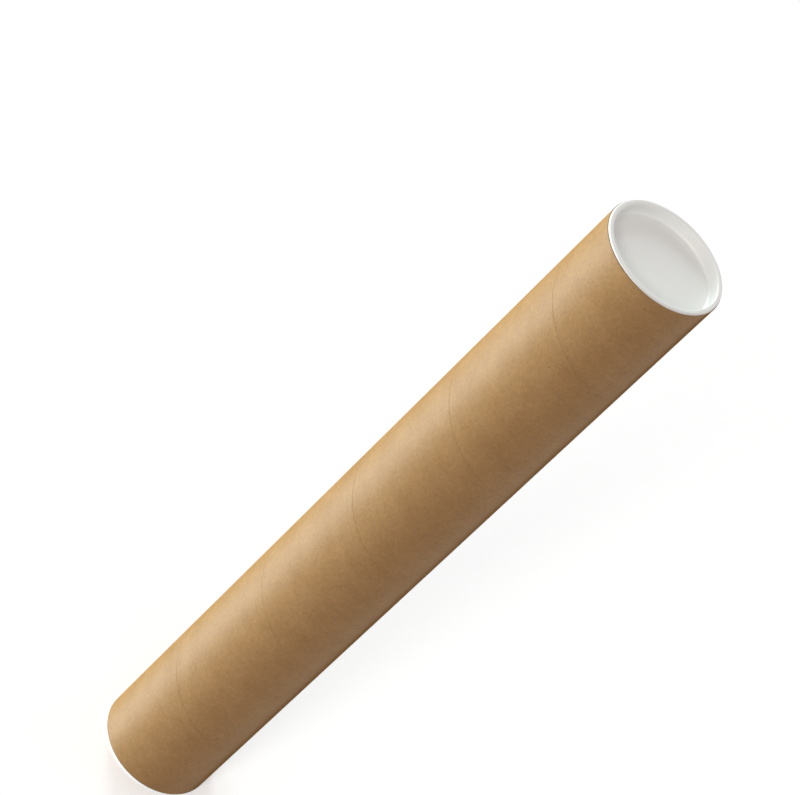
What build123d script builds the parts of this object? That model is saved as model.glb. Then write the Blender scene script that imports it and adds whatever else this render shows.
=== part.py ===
from build123d import *
import math
import os

# Cardboard mailing tube: a spiral-wound board tube closed by a push-in plastic plug at each end.
# It stands upright on its lower plug. Millimetres, +Z up, origin at the bottom centre.

# The board tube
bore_diameter = 76.0
board_wall = 2.0
board_length = 560.0

# The plugs' flange, which seats on the cut end of the board and has a soft rounded rim
flange_thickness = 1.5
flange_setback = 0.5
rim_rounding = 0.9
seat_rounding = 0.3

# The plugs' cup, which goes down into the bore and leaves a recess open to the outside
cup_wall = 1.5
recess_depth = 7.7
floor_thickness = 1.2
draft_angle = 1.5
floor_fillet = 1.6
mouth_rounding = 1.3
lead_in_rounding = 2.4

# The grip rings around the cup, which hold the plug in the bore
ring_count = 2
ring_height = 0.3
ring_radius = 0.6
fit_clearance = 0.05

# A rounding takes at most this share of the wall, rim or depth that carries it
rounding_share = 0.4

# The flange's thickness is shared between its rim rounding, its seat rounding and a plain edge between them
rim_share = 0.6
seat_share = 0.2

# Worked out from the sizes above
bore_radius = bore_diameter / 2
tube_radius = bore_radius + board_wall
flange_radius = tube_radius - flange_setback
grip_radius = bore_radius - fit_clearance
skirt_radius = grip_radius - ring_height
mouth_radius = skirt_radius - cup_wall
rim_width = flange_radius - mouth_radius
recess_floor = flange_thickness - recess_depth
cup_bottom = recess_floor - floor_thickness
lead_in = min(lead_in_rounding, cup_wall + floor_thickness)
draft_slope = math.tan(math.radians(draft_angle))
lower_seat = flange_thickness
upper_seat = lower_seat + board_length

# Half of the plug's section as corner points, radius then height, with the flange's seat at height 0
plug_corners = {
    "floor centre": (0, recess_floor),
    "floor edge": (mouth_radius - recess_depth * draft_slope, recess_floor),
    "mouth": (mouth_radius, flange_thickness),
    "flange top edge": (flange_radius, flange_thickness),
    "flange lower edge": (flange_radius, 0),
    "skirt root": (skirt_radius, 0),
    "bottom edge": (skirt_radius + cup_bottom * draft_slope, cup_bottom),
    "bottom centre": (0, cup_bottom),
}

# How far each moulded corner of that section is rounded
corner_roundings = {
    "floor edge": min(floor_fillet, rounding_share * recess_depth),
    "mouth": min(mouth_rounding, rounding_share * recess_depth, rounding_share * rim_width),
    "flange top edge": min(rim_rounding, rim_share * flange_thickness, rounding_share * rim_width),
    "flange lower edge": min(seat_rounding, seat_share * flange_thickness),
    "bottom edge": lead_in,
}


def board_tube():
    """The wound board between its two square-cut ends, standing on the lower plug's flange."""
    with BuildPart() as tube:
        with BuildSketch(Plane.XY.offset(lower_seat)):
            Circle(tube_radius)
            Circle(bore_radius, mode=Mode.SUBTRACT)
        extrude(amount=board_length)
    return tube.part


def plug():
    """One moulded plug with its flange's seat at height 0 and its recess open upwards."""
    with BuildPart() as moulding:
        with BuildSketch(Plane.XZ) as section:
            with BuildLine():
                Polyline(*plug_corners.values(), close=True)
            make_face()
            for name, rounding in corner_roundings.items():
                corner = section.vertices().sort_by_distance((*plug_corners[name], 0))[0]
                fillet(corner, rounding)
            ring_pitch = (cup_bottom + lead_in) / ring_count
            for number in range(ring_count):
                with Locations((grip_radius - ring_radius, ring_pitch * (number + 0.5))):
                    Circle(ring_radius)
        revolve(axis=Axis.Z)
    return moulding.part


def top_plug():
    """The upper plug, with its flange on the board's upper end."""
    return Pos(0, 0, upper_seat) * plug()


def bottom_plug():
    """The lower plug, turned over so that its flange is what the tube stands on."""
    return Pos(0, 0, lower_seat) * Rot(180, 0, 0) * plug()


os.makedirs("parts", exist_ok=True)
export_step(board_tube(), "parts/cardboard_tube.step")
export_step(top_plug(), "parts/top_plug.step")
export_step(bottom_plug(), "parts/bottom_plug.step")
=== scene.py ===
import math

import bmesh
import bpy
from mathutils import Matrix, Vector, noise


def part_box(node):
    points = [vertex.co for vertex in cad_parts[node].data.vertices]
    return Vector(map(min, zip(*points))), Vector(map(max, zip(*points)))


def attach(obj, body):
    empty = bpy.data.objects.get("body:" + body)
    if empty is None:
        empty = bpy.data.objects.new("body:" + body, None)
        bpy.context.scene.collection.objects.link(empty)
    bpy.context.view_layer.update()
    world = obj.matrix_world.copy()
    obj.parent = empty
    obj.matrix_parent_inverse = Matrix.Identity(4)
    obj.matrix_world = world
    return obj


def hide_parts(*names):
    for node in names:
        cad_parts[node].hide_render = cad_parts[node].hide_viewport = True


# Cardboard mailing tube with two white push-in plugs, standing on its lower plug. Metres, +Z up.
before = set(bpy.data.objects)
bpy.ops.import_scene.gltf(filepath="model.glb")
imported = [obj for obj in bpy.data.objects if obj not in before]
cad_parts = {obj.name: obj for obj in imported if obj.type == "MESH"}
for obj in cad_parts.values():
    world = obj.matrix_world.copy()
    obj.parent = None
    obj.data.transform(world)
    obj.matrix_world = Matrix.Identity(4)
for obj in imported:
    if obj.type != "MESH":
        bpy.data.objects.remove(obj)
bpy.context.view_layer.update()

# Sizes taken from the frame
board_low, board_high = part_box("cardboard_tube")
plug_low, plug_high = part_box("top_plug")
BOARD_BOTTOM = board_low.z
BOARD_TOP = board_high.z
TUBE_RADIUS = board_high.x
FLANGE_RADIUS = plug_high.x
FLANGE_THICKNESS = plug_high.z - BOARD_TOP
CUP_DEPTH = BOARD_TOP - plug_low.z

# Sizes that the frame's boxes don't give
BOARD_WALL = 0.0020
FIT_CLEARANCE = 0.00005
RING_HEIGHT = 0.0003
RING_RADIUS = 0.0006
RING_LEVELS = (-0.00125, -0.00375)
CUP_WALL = 0.0015
CUP_FLOOR_THICKNESS = 0.0012
DRAFT_SLOPE = math.tan(math.radians(1.5))
CUP_FLOOR_FILLET = 0.0016
MOUTH_ROUNDING = 0.0013
RIM_ROUNDING = 0.0009
SEAT_ROUNDING = 0.0003
LEAD_IN_ROUNDING = 0.0024
BORE_RADIUS = TUBE_RADIUS - BOARD_WALL

# How finely the round surfaces are divided, and how near two points count as one
TURN_COLUMNS = 256
ARC_STEPS = 7
GRIP_WALL_STEPS = 48
LONGEST_SECTION_RUN = 0.0011
SAME_PLACE = 1e-6

# The photograph's camera, fitted to the tube's outline in the picture
PHOTO_WIDTH = 800
PHOTO_HEIGHT = 795
SENSOR_WIDTH_MM = 36
FOCAL_LENGTH_PX = 3352.8
TOP_CENTRE_PX = (665.2, 257.7)
TUBE_RADIUS_PX = 71.35
VIEW_TO_AXIS = math.radians(51.06)
AXIS_IN_PICTURE = math.radians(44.84)

# The wound paper: its rise in one turn, and the height of one seam of the outside and one of the bore, where
# they pass the side towards the camera
STRIP_RISE = 0.104
SEAM_HEIGHT = 0.0780
BORE_SEAM_HEIGHT = SEAM_HEIGHT + STRIP_RISE / 3

# The seam's groove and its darker line of glue and painted shade, and the places beside it where the surface
# is divided
SEAM_DEPTH = 0.00014
SEAM_HALF_WIDTH = 0.0003
# The seam line's darkening is partly glue and partly painted shade in the joint
SEAM_GLUE_AND_PAINTED_SHADE = 0.06
SEAM_GLUE_AND_PAINTED_SHADE_HALF_WIDTH = 0.0007
BESIDE_SEAM = (0, 0.00015, 0.0003, 0.0005, 0.001, 0.002)
PLAIN_STEPS = 7

# The faint valley over the seam of the ply below, and the slight waves of the whole surface
INNER_PLY_DEPTH = 0.00003
INNER_PLY_HALF_WIDTH = 0.0012
WAVE_DEPTH = 0.00003
WAVES_PER_METRE = 45

# The cut ends: their rounded edge, how far it turns in, where it is divided, the plies and the rough cut
END_ROUNDING = 0.0002
END_INSET = END_ROUNDING * 0.7
END_DIVISIONS = (0.25, 0.6, 1.0)
PLY_COUNT = 5
RINGS_PER_PLY = 3
PLY_SUNK = 0.00002
GLUE_LINE_SUNK = 0.00004
CUT_ROUGHNESS = 0.00002
CUT_NOISE_SCALE = 9
CUT_NOISE_STRETCH = 800

# The board's material slots
OUTSIDE_SLOT, BORE_SLOT, END_SLOT = range(3)


def smooth_step(value):
    """0 to 1 with soft ends."""
    value = min(1.0, max(0.0, value))
    return value * value * (3 - 2 * value)


def strip_offsets():
    """Places across one strip, from seam to seam, closer together beside the seam and over the ply below."""
    half = STRIP_RISE / 2
    reach = BESIDE_SEAM[-1]
    over_ply = [half + step * INNER_PLY_HALF_WIDTH / 2 for step in range(-3, 4)]
    between = [reach + (half - 2 * reach) * step / PLAIN_STEPS for step in range(1, PLAIN_STEPS)]
    lower = list(BESIDE_SEAM) + between
    upper = [STRIP_RISE - offset for offset in reversed(lower)]
    return lower + over_ply + upper


def seam_relief(offset):
    """Depth of the seam's groove and of the valley over the ply below, at a place across the strip."""
    from_seam = min(offset, STRIP_RISE - offset)
    from_ply = abs(offset - STRIP_RISE / 2)
    groove = SEAM_DEPTH * (1 - smooth_step(from_seam / SEAM_HALF_WIDTH))
    valley = INNER_PLY_DEPTH * (1 - smooth_step(from_ply / INNER_PLY_HALF_WIDTH))
    return groove + valley


def end_relief(height):
    """How far the board's surface has turned in at its cut ends."""
    from_end = min(height - BOARD_BOTTOM, BOARD_TOP - height)
    inward = min(1.0, max(0.0, 1 - from_end / END_ROUNDING))
    return END_INSET * (1 - math.sqrt(1 - inward ** 2))


def wound_surface(name, radius, outside, seam_height):
    """A paper strip wound from end to end, as a mesh with its winding coordinates in a texture layer."""
    offsets = strip_offsets()
    turn = 2 * math.pi * radius
    slope = math.atan2(STRIP_RISE, turn)
    turns_below = math.ceil((seam_height - BOARD_BOTTOM) / STRIP_RISE) + 1
    start = seam_height - turns_below * STRIP_RISE
    turn_count = math.ceil((BOARD_TOP - start) / STRIP_RISE)
    columns = turn_count * TURN_COLUMNS
    mesh = bmesh.new()
    winding = mesh.loops.layers.uv.new("winding")
    rows = []
    for column in range(columns + 1):
        share = column / TURN_COLUMNS
        angle = -2 * math.pi * share
        side = Vector((math.sin(angle), -math.cos(angle), 0))
        low = start + share * STRIP_RISE
        rows.append([mesh.verts.new(side * radius + Vector((0, 0, low + offset))) for offset in offsets])
    for column in range(columns):
        for place in range(len(offsets) - 1):
            corners = [(column, place), (column, place + 1), (column + 1, place + 1), (column + 1, place)]
            if not outside:
                corners.reverse()
            face = mesh.faces.new([rows[c][p] for c, p in corners])
            face.smooth = True
            for loop, (c, p) in zip(face.loops, corners):
                share = c / TURN_COLUMNS
                along = share * turn / math.cos(slope) + offsets[p] * math.sin(slope)
                across = offsets[p] * math.cos(slope)
                loop[winding].uv = (along, across)
    trim_to_board(mesh)
    bmesh.ops.remove_doubles(mesh, verts=mesh.verts, dist=SAME_PLACE)
    for vertex in mesh.verts:
        vertex.co = relieved(vertex.co, outside, seam_height)
    return finished(name, mesh)


def trim_to_board(mesh):
    """Cuts the strip off square at both ends of the board, and divides it beside each cut."""
    up = Vector((0, 0, 1))
    for level, spare in ((BOARD_BOTTOM, "clear_inner"), (BOARD_TOP, "clear_outer")):
        everything = mesh.verts[:] + mesh.edges[:] + mesh.faces[:]
        bmesh.ops.bisect_plane(mesh, geom=everything, plane_co=up * level, plane_no=up, **{spare: True})
    for share in END_DIVISIONS:
        inset = share * END_ROUNDING
        for level in (BOARD_BOTTOM + inset, BOARD_TOP - inset):
            everything = mesh.verts[:] + mesh.edges[:] + mesh.faces[:]
            bmesh.ops.bisect_plane(mesh, geom=everything, plane_co=up * level, plane_no=up)


def relieved(point, outside, seam_height):
    """The point moved into the board by its seams, its slight waves and its rounded ends."""
    angle = math.atan2(point.x, -point.y)
    offset = (point.z - seam_height + STRIP_RISE * angle / (2 * math.pi)) % STRIP_RISE
    wave = 0.5 + 0.5 * noise.noise(point * WAVES_PER_METRE)
    depth = seam_relief(offset) + WAVE_DEPTH * wave + end_relief(point.z)
    radial = Vector((point.x, point.y, 0))
    radius = radial.length
    return point + radial * ((-depth if outside else depth) / radius)


def cut_end(name, level, up):
    """The ring of the board's cut end, with its plies as faint steps."""
    mesh = bmesh.new()
    ring_count = PLY_COUNT * RINGS_PER_PLY
    inner = BORE_RADIUS + END_INSET
    outer = TUBE_RADIUS - END_INSET
    rings = []
    for ring in range(ring_count + 1):
        radius = inner + (outer - inner) * ring / ring_count
        sunk = 0 if ring in (0, ring_count) else GLUE_LINE_SUNK * (ring % RINGS_PER_PLY == 0) + PLY_SUNK
        row = []
        for column in range(TURN_COLUMNS):
            angle = 2 * math.pi * column / TURN_COLUMNS
            place = Vector((math.sin(angle), math.cos(angle), radius * CUT_NOISE_STRETCH))
            rough = CUT_ROUGHNESS * noise.noise(place * CUT_NOISE_SCALE)
            height = level - (sunk + abs(rough)) * (1 if up else -1)
            row.append(mesh.verts.new((radius * math.sin(angle), -radius * math.cos(angle), height)))
        rings.append(row)
    for inner_row, outer_row in zip(rings, rings[1:]):
        for column in range(TURN_COLUMNS):
            after = (column + 1) % TURN_COLUMNS
            corners = [inner_row[column], outer_row[column], outer_row[after], inner_row[after]]
            if not up:
                corners.reverse()
            mesh.faces.new(corners).smooth = True
    return finished(name, mesh)


def bearing(ring, place):
    """The angle about the axis of one vertex of a ring, which goes on growing past a full turn."""
    turns, index = divmod(place, len(ring))
    point = ring[index].co
    return math.atan2(point.x, -point.y) + 2 * math.pi * turns


def along_rim(vertices):
    """The vertices of one open edge in their order along it, round the axis by growing angle."""
    by_angle = sorted(vertices, key=lambda vertex: bearing([vertex], 0))
    ring = by_angle[:1]
    while len(ring) < len(by_angle):
        beside = [edge.other_vert(ring[-1]) for edge in ring[-1].link_edges if edge.is_boundary]
        onward = [vertex for vertex in beside if vertex not in ring[-2:]]
        ring.append(min(onward, key=by_angle.index))
    return ring


def band_between(mesh, first, second):
    """Triangles between two rings of vertices about the axis, taken round by angle."""
    made = []
    here, there = 0, 0
    while here < len(first) or there < len(second):
        first_corner = first[here % len(first)]
        second_corner = second[there % len(second)]
        first_is_next = bearing(first, here + 1) <= bearing(second, there + 1)
        if there == len(second) or (here < len(first) and first_is_next):
            here += 1
            next_corner = first[here % len(first)]
        else:
            there += 1
            next_corner = second[there % len(second)]
        made.append(mesh.faces.new((first_corner, next_corner, second_corner)))
    return made


def close_rims(mesh):
    """Joins the cut ends to the outside and to the bore, so that the board is one closed surface."""
    middle_radius = (TUBE_RADIUS + BORE_RADIUS) / 2
    middle_height = (BOARD_BOTTOM + BOARD_TOP) / 2
    rims = {}
    for vertex in mesh.verts:
        if vertex.is_boundary:
            outer = math.hypot(vertex.co.x, vertex.co.y) > middle_radius
            upper = vertex.co.z > middle_height
            on_end = vertex.link_faces[0].material_index == END_SLOT
            rims.setdefault((outer, upper, on_end), []).append(vertex)
    rings = {place: along_rim(vertices) for place, vertices in rims.items()}
    for outer in (False, True):
        for upper in (False, True):
            for face in band_between(mesh, rings[outer, upper, False], rings[outer, upper, True]):
                face.material_index = END_SLOT
    bmesh.ops.recalc_face_normals(mesh, faces=mesh.faces)
    if mesh.calc_volume(signed=True) < 0:
        bmesh.ops.reverse_faces(mesh, faces=mesh.faces)


def joined(name, meshes_and_slots):
    """The board as one closed mesh out of its surfaces, each with its own material slot."""
    whole = bmesh.new()
    for mesh, slot_index in meshes_and_slots:
        first = len(whole.faces)
        whole.from_mesh(mesh)
        whole.faces.ensure_lookup_table()
        for face in whole.faces[first:]:
            face.material_index = slot_index
        bpy.data.meshes.remove(mesh)
    close_rims(whole)
    return finished(name, whole)


def rounded(corners):
    """A section's points, from corners given as radius, height and how far the corner is rounded."""
    places = [Vector(corner[:2]) for corner in corners]
    points = []
    for index, here in enumerate(places):
        size = corners[index][2]
        if not size:
            points.append(here)
            continue
        before = (places[index - 1] - here).normalized()
        after = (places[index + 1] - here).normalized()
        half_angle = before.angle(after) / 2
        centre = here + (before + after).normalized() * (size / math.sin(half_angle))
        first = here + before * (size / math.tan(half_angle)) - centre
        last = here + after * (size / math.tan(half_angle)) - centre
        turn = first.angle(last)
        for step in range(ARC_STEPS + 1):
            share = step / ARC_STEPS
            arm = first * math.sin((1 - share) * turn) + last * math.sin(share * turn)
            points.append(centre + arm / math.sin(turn))
    return points


def plug_section():
    """Half of a plug's section, radius then height, with the flange's seat at height 0."""
    skirt = BORE_RADIUS - FIT_CLEARANCE - RING_HEIGHT
    mouth = skirt - CUP_WALL
    floor_level = CUP_FLOOR_THICKNESS - CUP_DEPTH
    points = rounded([
        (0, floor_level, 0),
        (mouth - (FLANGE_THICKNESS - floor_level) * DRAFT_SLOPE, floor_level, CUP_FLOOR_FILLET),
        (mouth, FLANGE_THICKNESS, MOUTH_ROUNDING),
        (FLANGE_RADIUS, FLANGE_THICKNESS, RIM_ROUNDING),
        (FLANGE_RADIUS, 0, SEAT_ROUNDING),
        (skirt, 0, 0),
        (skirt - CUP_DEPTH * DRAFT_SLOPE, -CUP_DEPTH, LEAD_IN_ROUNDING),
        (0, -CUP_DEPTH, 0),
    ])
    root = next(index for index, point in enumerate(points) if point == Vector((skirt, 0)))
    wall = grip_wall(skirt, points[root + 1].y)
    return divided(points[: root + 1] + wall + points[root + 1 :])


def grip_wall(skirt, lowest):
    """Points down the cup's outer wall, which swells into the grip rings."""
    grip = BORE_RADIUS - FIT_CLEARANCE
    wall = []
    for step in range(1, GRIP_WALL_STEPS):
        height = lowest * step / GRIP_WALL_STEPS
        nearest = min(abs(height - level) for level in RING_LEVELS)
        radius = skirt + height * DRAFT_SLOPE
        if nearest < RING_RADIUS:
            ring = grip - RING_RADIUS + math.sqrt(RING_RADIUS ** 2 - nearest ** 2)
            radius = max(radius, ring)
        wall.append(Vector((radius, height)))
    return wall


def divided(points):
    """The section with its long straight runs divided."""
    result = [points[0]]
    for point in points[1:]:
        last = result[-1]
        pieces = max(1, math.ceil((point - last).length / LONGEST_SECTION_RUN))
        result += [last.lerp(point, piece / pieces) for piece in range(1, pieces + 1)]
    return result


def plug_mesh(name, seat, up):
    """A plug turned from its section, with its flange's seat at the given height."""
    mesh = bmesh.new()
    direction = 1 if up else -1
    rows = []
    for point in plug_section():
        height = seat + direction * point.y
        if point.x < SAME_PLACE:
            rows.append([mesh.verts.new((0, 0, height))])
            continue
        row = []
        for column in range(TURN_COLUMNS):
            angle = 2 * math.pi * column / TURN_COLUMNS
            row.append(mesh.verts.new((point.x * math.sin(angle), -point.x * math.cos(angle), height)))
        rows.append(row)
    for low, high in zip(rows, rows[1:]):
        for column in range(TURN_COLUMNS):
            after = (column + 1) % TURN_COLUMNS
            lower = [low[column % len(low)], low[after % len(low)]]
            upper = [high[after % len(high)], high[column % len(high)]]
            face_corners = list(dict.fromkeys(lower + upper))
            if not up:
                face_corners.reverse()
            mesh.faces.new(face_corners).smooth = True
    bmesh.ops.recalc_face_normals(mesh, faces=mesh.faces)
    return finished(name, mesh)


def finished(name, mesh):
    """The edited mesh as a mesh that an object can carry."""
    made = bpy.data.meshes.new(name)
    mesh.to_mesh(made)
    mesh.free()
    return made


class Nodes:
    """A material's node tree, with short calls that add nodes and link them."""

    def __init__(self, name):
        self.material = bpy.data.materials.new(name)
        self.material.use_nodes = True
        self.tree = self.material.node_tree
        self.shader = self.tree.nodes["Principled BSDF"]

    def add(self, kind, inputs=None, **settings):
        """A new node of the given kind, with its inputs filled."""
        node = self.tree.nodes.new("ShaderNode" + kind)
        for key, value in settings.items():
            setattr(node, key, value)
        for key, value in (inputs or {}).items():
            self.put(value, node.inputs[key])
        return node

    def put(self, value, socket):
        """Fills an input with another node's output or with a plain value."""
        if isinstance(value, bpy.types.NodeSocket):
            self.tree.links.new(value, socket)
        else:
            socket.default_value = value

    def math(self, operation, first, second=0.0):
        return self.add("Math", {0: first, 1: second}, operation=operation).outputs[0]

    def noise(self, vector, scale, detail, roughness):
        inputs = {"Vector": vector, "Scale": scale, "Detail": detail, "Roughness": roughness}
        return self.add("TexNoise", inputs).outputs["Fac"]

    def drawn_noise(self, vector, scales, detail, roughness):
        """Noise with its own scale in each direction."""
        scaled = self.add("VectorMath", {0: vector, 1: scales}, operation="MULTIPLY").outputs[0]
        return self.noise(scaled, 1.0, detail, roughness)

    def mapped(self, value, low, high, to_low, to_high, course="LINEAR"):
        inputs = {"Value": value, "From Min": low, "From Max": high, "To Min": to_low, "To Max": to_high}
        return self.add("MapRange", inputs, interpolation_type=course).outputs["Result"]

    def mixed(self, factor, first, second):
        """A blend of two colours, which the node takes in its inputs 6 and 7 and gives in its output 2."""
        return self.add("Mix", {0: factor, 6: first, 7: second}, data_type="RGBA").outputs[2]


def srgb(red, green, blue):
    """A colour as a picture's 0 to 255 values, turned into the linear values that a shader takes."""
    def linear(value):
        value /= 255
        return value / 12.92 if value <= 0.04045 else ((value + 0.055) / 1.055) ** 2.4
    return (linear(red), linear(green), linear(blue), 1.0)


# The part of a noise's values that a pattern spreads out, since most of them lie near one half
NARROW = (0.3, 0.7)
MIDDLE = (0.25, 0.75)
WIDE = (0.2, 0.8)

# The paper's patterns: scale, detail and roughness. The last three follow the winding, and their scales are
# along the strip and across it.
CLOUD = (55.0, 4.0, 0.6)
PULP = (420.0, 3.0, 0.65)
GRAIN = (1300.0, 2.0, 0.6)
FIBRES = ((260.0, 1500.0, 1.0), 3.0, 0.6)
STREAKS = ((4.0, 170.0, 1.0), 2.0, 0.5)
FLECKS = ((330.0, 700.0, 1.0), 1.0, 0.4)

# How far each pattern lightens and darkens the paper, and how strongly the flecks show at their rare values
PULP_TONE = 0.11
GRAIN_TONE = 0.13
FIBRE_TONE = 0.09
STREAK_TONE = 0.03
FLECK_STRENGTH = 0.5
RARE = (0.72, 0.8)

# The paper's colours: two that its cloudy pulp mixes, and its flecks'
OUTER_COLOURS = (srgb(164, 126, 82), srgb(172, 135, 91), srgb(102, 76, 48))
INNER_COLOURS = (srgb(156, 123, 88), srgb(166, 134, 98), srgb(100, 76, 50))

# The paper's finish: its roughness, how much grain its bump takes, and its gloss with the turn away from the
# eye over which that fades, 0 being square on and 1 edge on
PAPER_ROUGHNESS = (0.45, 0.55)
GRAIN_IN_BUMP = 0.6
PAPER_GLOSS = 0.17
GLOSS_FADE = (0.54, 0.82)

# The cut end: its pulp, how the glue lines wander, how far from a ply's middle they lie, both in shares of a
# ply, how strongly they show, and the colours
CUT_PULP = (1800.0, 3.0, 0.7)
WANDER = (260.0, 3.0, 0.6)
WANDER_REACH = 0.16
GLUE_LINE = (0.4, 0.5)
GLUE_STRENGTH = 0.55
CUT_COLOURS = (srgb(158, 128, 95), srgb(186, 158, 124))
GLUE_COLOUR = srgb(112, 84, 56)

# The plastic: its milky cloud, its fine unevenness, how much of each its bump takes, and its finish
MILK = (60.0, 3.0, 0.5)
FINE = (900.0, 2.0, 0.5)
MILK_IN_BUMP = 3.0
FINE_IN_BUMP = 0.3
PLASTIC_ROUGHNESS = (0.28, 0.36)
PLASTIC_COLOURS = (srgb(236, 240, 238), srgb(240, 243, 242))


def seam_glue_and_painted_shade(nodes, winding, radius):
    """A tone of 1 that dips where two turns of the strip meet, partly for their glue line and partly as
    painted shade in the joint.
    """
    width = STRIP_RISE * math.cos(math.atan2(STRIP_RISE, 2 * math.pi * radius))
    across = nodes.add("SeparateXYZ", {0: winding}).outputs[1]
    from_seam = nodes.math("MINIMUM", across, nodes.math("SUBTRACT", width, across))
    # The dip is partly the glue line and partly painted shade in the joint's gap
    return nodes.mapped(from_seam, 0.0, SEAM_GLUE_AND_PAINTED_SHADE_HALF_WIDTH, 1 - SEAM_GLUE_AND_PAINTED_SHADE, 1.0, "SMOOTHSTEP")


def paper_material(name, radius, colour, cloud_colour, fleck_colour):
    """Brown wound paper: cloudy pulp, fibres laid along the strip, sparse dark flecks and a soft sheen."""
    nodes = Nodes(name)
    winding = nodes.add("UVMap", uv_map="winding").outputs["UV"]
    place = nodes.add("TexCoord").outputs["Object"]
    cloud = nodes.noise(place, *CLOUD)
    pulp = nodes.noise(place, *PULP)
    grain = nodes.noise(place, *GRAIN)
    fibres = nodes.drawn_noise(winding, *FIBRES)
    streaks = nodes.drawn_noise(winding, *STREAKS)
    flecks = nodes.drawn_noise(winding, *FLECKS)
    mottled = nodes.mixed(nodes.mapped(cloud, *NARROW, 0.0, 1.0), colour, cloud_colour)
    tone = nodes.mapped(pulp, *MIDDLE, 1 - PULP_TONE, 1 + PULP_TONE)
    tone = nodes.math("ADD", tone, nodes.mapped(grain, *WIDE, -GRAIN_TONE, GRAIN_TONE))
    tone = nodes.math("ADD", tone, nodes.mapped(fibres, *MIDDLE, -FIBRE_TONE, FIBRE_TONE))
    tone = nodes.math("ADD", tone, nodes.mapped(streaks, *NARROW, -STREAK_TONE, STREAK_TONE))
    # Darkens the seam with its glue line and with painted shade in the joint
    tone = nodes.math("MULTIPLY", tone, seam_glue_and_painted_shade(nodes, winding, radius))
    toned = nodes.add("VectorMath", {0: mottled, "Scale": tone}, operation="SCALE").outputs[0]
    fleck = nodes.mapped(flecks, *RARE, 0.0, FLECK_STRENGTH)
    nodes.put(nodes.mixed(fleck, toned, fleck_colour), nodes.shader.inputs["Base Color"])
    nodes.put(nodes.mapped(pulp, *WIDE, *PAPER_ROUGHNESS), nodes.shader.inputs["Roughness"])
    facing = nodes.add("LayerWeight", {"Blend": 0.5}).outputs["Facing"]
    gloss = nodes.mapped(facing, *GLOSS_FADE, PAPER_GLOSS, 0.0, "SMOOTHSTEP")
    nodes.put(gloss, nodes.shader.inputs["Specular IOR Level"])
    height = nodes.math("ADD", fibres, nodes.math("MULTIPLY", grain, GRAIN_IN_BUMP))
    bump = nodes.add("Bump", {"Strength": 0.35, "Distance": 0.00006, "Height": height})
    nodes.put(bump.outputs["Normal"], nodes.shader.inputs["Normal"])
    return nodes.material


def cut_board_material():
    """The raw cut end: grey-brown plies with darker glue lines between them."""
    nodes = Nodes("cut_board")
    place = nodes.add("TexCoord").outputs["Object"]
    parts = nodes.add("SeparateXYZ", {0: place})
    x_squared = nodes.math("MULTIPLY", parts.outputs[0], parts.outputs[0])
    y_squared = nodes.math("MULTIPLY", parts.outputs[1], parts.outputs[1])
    radius = nodes.math("SQRT", nodes.math("ADD", x_squared, y_squared))
    depth = nodes.mapped(radius, BORE_RADIUS, TUBE_RADIUS, 0.0, float(PLY_COUNT))
    wander = nodes.mapped(nodes.noise(place, *WANDER), *WIDE, -WANDER_REACH, WANDER_REACH)
    ply = nodes.math("FRACT", nodes.math("ADD", depth, wander))
    from_middle = nodes.math("ABSOLUTE", nodes.math("SUBTRACT", ply, 0.5))
    glue = nodes.mapped(from_middle, *GLUE_LINE, 0.0, GLUE_STRENGTH)
    pulp = nodes.mapped(nodes.noise(place, *CUT_PULP), *NARROW, 0.0, 1.0)
    board = nodes.mixed(pulp, *CUT_COLOURS)
    nodes.put(nodes.mixed(glue, board, GLUE_COLOUR), nodes.shader.inputs["Base Color"])
    nodes.put(0.85, nodes.shader.inputs["Roughness"])
    nodes.put(0.2, nodes.shader.inputs["Specular IOR Level"])
    bump = nodes.add("Bump", {"Strength": 0.6, "Distance": 0.0001, "Height": pulp})
    nodes.put(bump.outputs["Normal"], nodes.shader.inputs["Normal"])
    return nodes.material


def plastic_material():
    """White moulded polyethylene: slightly milky, satin, with the fine unevenness of a moulded face."""
    nodes = Nodes("white_polyethylene")
    place = nodes.add("TexCoord").outputs["Object"]
    milk = nodes.noise(place, *MILK)
    nodes.put(nodes.mixed(milk, *PLASTIC_COLOURS), nodes.shader.inputs["Base Color"])
    fine = nodes.noise(place, *FINE)
    nodes.put(nodes.mapped(fine, *NARROW, *PLASTIC_ROUGHNESS), nodes.shader.inputs["Roughness"])
    nodes.put(0.45, nodes.shader.inputs["Specular IOR Level"])
    broad = nodes.math("MULTIPLY", milk, MILK_IN_BUMP)
    height = nodes.math("ADD", broad, nodes.math("MULTIPLY", fine, FINE_IN_BUMP))
    bump = nodes.add("Bump", {"Strength": 0.25, "Distance": 0.0001, "Height": height})
    nodes.put(bump.outputs["Normal"], nodes.shader.inputs["Normal"])
    return nodes.material


def placed(name, mesh, materials, body):
    """An object for the mesh, riding on its body."""
    made = bpy.data.objects.new(name, mesh)
    for shade in materials:
        mesh.materials.append(shade)
    bpy.context.scene.collection.objects.link(made)
    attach(made, body)
    return made


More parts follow.
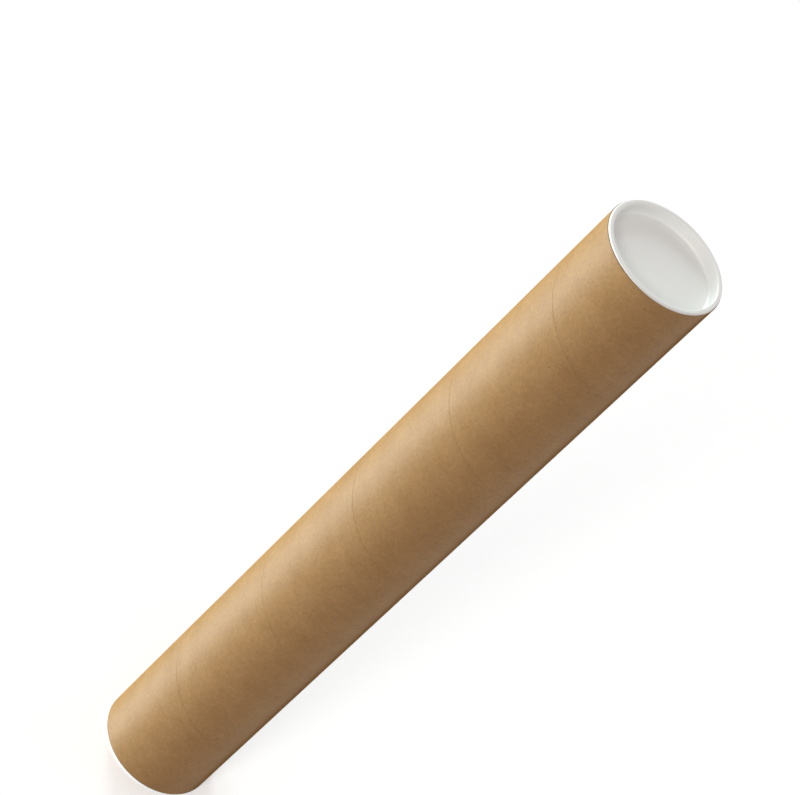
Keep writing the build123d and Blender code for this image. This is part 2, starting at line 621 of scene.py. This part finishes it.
def photo_camera():
    """The photograph's view, placed by where the board's upper end lies in the picture and by its size."""
    axis = Vector((
        math.sin(VIEW_TO_AXIS) * math.cos(AXIS_IN_PICTURE),
        math.sin(VIEW_TO_AXIS) * math.sin(AXIS_IN_PICTURE),
        math.cos(VIEW_TO_AXIS),
    ))
    looking = Vector((0, 0, -1))
    away = (looking - axis * looking.dot(axis)).normalized()
    across = away.cross(axis)
    depth = FOCAL_LENGTH_PX * TUBE_RADIUS / TUBE_RADIUS_PX
    right_px = TOP_CENTRE_PX[0] - PHOTO_WIDTH / 2
    down_px = TOP_CENTRE_PX[1] - PHOTO_HEIGHT / 2
    top = Vector((right_px, -down_px, -FOCAL_LENGTH_PX)) * (depth / FOCAL_LENGTH_PX)
    turn = Matrix((across, away, axis)).transposed().to_4x4()
    camera = bpy.data.cameras.new("photo_camera")
    camera.sensor_width = SENSOR_WIDTH_MM
    camera.lens = FOCAL_LENGTH_PX / PHOTO_WIDTH * SENSOR_WIDTH_MM
    camera.clip_start = 0.05
    camera.clip_end = 100
    holder = bpy.data.objects.new("photo_camera", camera)
    holder.matrix_world = (Matrix.Translation(top - axis * BOARD_TOP) @ turn).inverted()
    bpy.context.scene.collection.objects.link(holder)
    bpy.context.scene.camera = holder


def seen_directly(tree):
    """A factor: 1 for what the camera sees itself, in gloss or through glass, and 0 for other light."""
    path = tree.nodes.new("ShaderNodeLightPath")
    factor = path.outputs["Is Camera Ray"]
    for name in ("Is Glossy Ray", "Is Transmission Ray"):
        either = tree.nodes.new("ShaderNodeMath")
        either.operation = "MAXIMUM"
        tree.links.new(factor, either.inputs[0])
        tree.links.new(path.outputs[name], either.inputs[1])
        factor = either.outputs[0]
    return factor


# Even soft light on all sides, and large soft lamps: name, azimuth, elevation and width in degrees, strength
# and colour. The window lies below the horizon, since the tube in the photograph lies down.
DAYLIGHT = (0.91, 1.05, 1.05)
ROOM_LIGHT = (1.06, 0.97, 0.93)
AMBIENT = 0.38
LAMPS = (
    ("window", 190, -31, 40, 1.22, DAYLIGHT),
    ("low_window", 152, 8, 20, 0.26, DAYLIGHT),
    ("back_window", 128, 19, 20, 0.41, DAYLIGHT),
    ("ceiling", -88, 60, 50, 0.10, ROOM_LIGHT),
    ("front", -101, 24, 12, 0.27, ROOM_LIGHT),
    ("back_fill", 48, 8, 40, 0.15, ROOM_LIGHT),
)

# The floor: what it throws back on the object, its colour to the camera, and a glow that makes that white
FLOOR_REACH = 12
FLOOR_TONE = 0.25
FLOOR_SEEN = (0.94, 0.98, 1.0)
FLOOR_GLOW = 0.31


def lamp(name, azimuth, elevation, width, strength, colour):
    """A distant soft lamp. A strength of 1 lights a white face that looks straight at it to white."""
    light = bpy.data.lights.new(name, "SUN")
    light.energy = strength * math.pi
    light.color = colour
    light.angle = math.radians(width)
    holder = bpy.data.objects.new(name, light)
    turn = math.radians(azimuth)
    rise = math.radians(elevation)
    towards = Vector((math.cos(turn) * math.cos(rise), math.sin(turn) * math.cos(rise), math.sin(rise)))
    holder.rotation_mode = "QUATERNION"
    holder.rotation_quaternion = towards.to_track_quat("Z", "Y")
    bpy.context.scene.collection.objects.link(holder)


def studio():
    """A white world with even soft light, and soft lamps mostly from the photograph's upper left."""
    world = bpy.data.worlds.new("studio")
    world.use_nodes = True
    tree = world.node_tree
    light = tree.nodes["Background"]
    light.inputs["Color"].default_value = ROOM_LIGHT + (1,)
    light.inputs["Strength"].default_value = AMBIENT
    white = tree.nodes.new("ShaderNodeBackground")
    white.inputs["Strength"].default_value = 1.0
    white.inputs["Color"].default_value = (1, 1, 1, 1)
    mix = tree.nodes.new("ShaderNodeMixShader")
    tree.links.new(seen_directly(tree), mix.inputs[0])
    tree.links.new(light.outputs[0], mix.inputs[1])
    tree.links.new(white.outputs[0], mix.inputs[2])
    tree.links.new(mix.outputs[0], tree.nodes["World Output"].inputs["Surface"])
    bpy.context.scene.world = world
    for values in LAMPS:
        lamp(*values)


def floor():
    """A plain floor that looks white to the camera, keeps the object's shadow and casts none itself."""
    mesh = bpy.data.meshes.new("floor")
    reach = FLOOR_REACH
    corners = [(-reach, -reach, 0), (reach, -reach, 0), (reach, reach, 0), (-reach, reach, 0)]
    mesh.from_pydata(corners, [], [(0, 1, 2, 3)])
    nodes = Nodes("floor")
    tree = nodes.tree
    matte = nodes.add("BsdfDiffuse", {"Color": (FLOOR_TONE,) * 3 + (1,)})
    seen = nodes.add("BsdfDiffuse", {"Color": FLOOR_SEEN + (1,)})
    glow = nodes.add("Emission", {"Color": (1, 1, 1, 1), "Strength": FLOOR_GLOW})
    white = nodes.add("AddShader", {0: seen.outputs[0], 1: glow.outputs[0]})
    mix = nodes.add("MixShader")
    tree.links.new(seen_directly(tree), mix.inputs[0])
    tree.links.new(matte.outputs[0], mix.inputs[1])
    tree.links.new(white.outputs[0], mix.inputs[2])
    tree.links.new(mix.outputs[0], tree.nodes["Material Output"].inputs["Surface"])
    tree.nodes.remove(nodes.shader)
    mesh.materials.append(nodes.material)
    made = bpy.data.objects.new("floor", mesh)
    made.visible_shadow = False
    bpy.context.scene.collection.objects.link(made)


def build_tube():
    """The wound board: outside, bore and both cut ends as one piece."""
    outside = wound_surface("outside", TUBE_RADIUS, True, SEAM_HEIGHT)
    bore = wound_surface("bore", BORE_RADIUS, False, BORE_SEAM_HEIGHT)
    upper_end = cut_end("upper_end", BOARD_TOP, True)
    lower_end = cut_end("lower_end", BOARD_BOTTOM, False)
    surfaces = [(outside, OUTSIDE_SLOT), (bore, BORE_SLOT), (upper_end, END_SLOT), (lower_end, END_SLOT)]
    mesh = joined("wound_board", surfaces)
    materials = [
        paper_material("brown_paper", TUBE_RADIUS, *OUTER_COLOURS),
        paper_material("inner_paper", BORE_RADIUS, *INNER_COLOURS),
        cut_board_material(),
    ]
    tube = placed("wound_board", mesh, materials, "tube")
    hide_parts("cardboard_tube")


def build_plugs():
    """Both plugs, each in place of its CAD solid."""
    plastic = plastic_material()
    upper_mesh = plug_mesh("upper_plug_moulding", BOARD_TOP, True)
    upper = placed("upper_plug_moulding", upper_mesh, [plastic], "upper_plug")
    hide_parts("top_plug")
    lower_mesh = plug_mesh("lower_plug_moulding", BOARD_BOTTOM, False)
    lower = placed("lower_plug_moulding", lower_mesh, [plastic], "lower_plug")
    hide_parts("bottom_plug")


build_tube()
build_plugs()
photo_camera()
studio()
floor()
bpy.context.scene.view_settings.view_transform = "Standard"
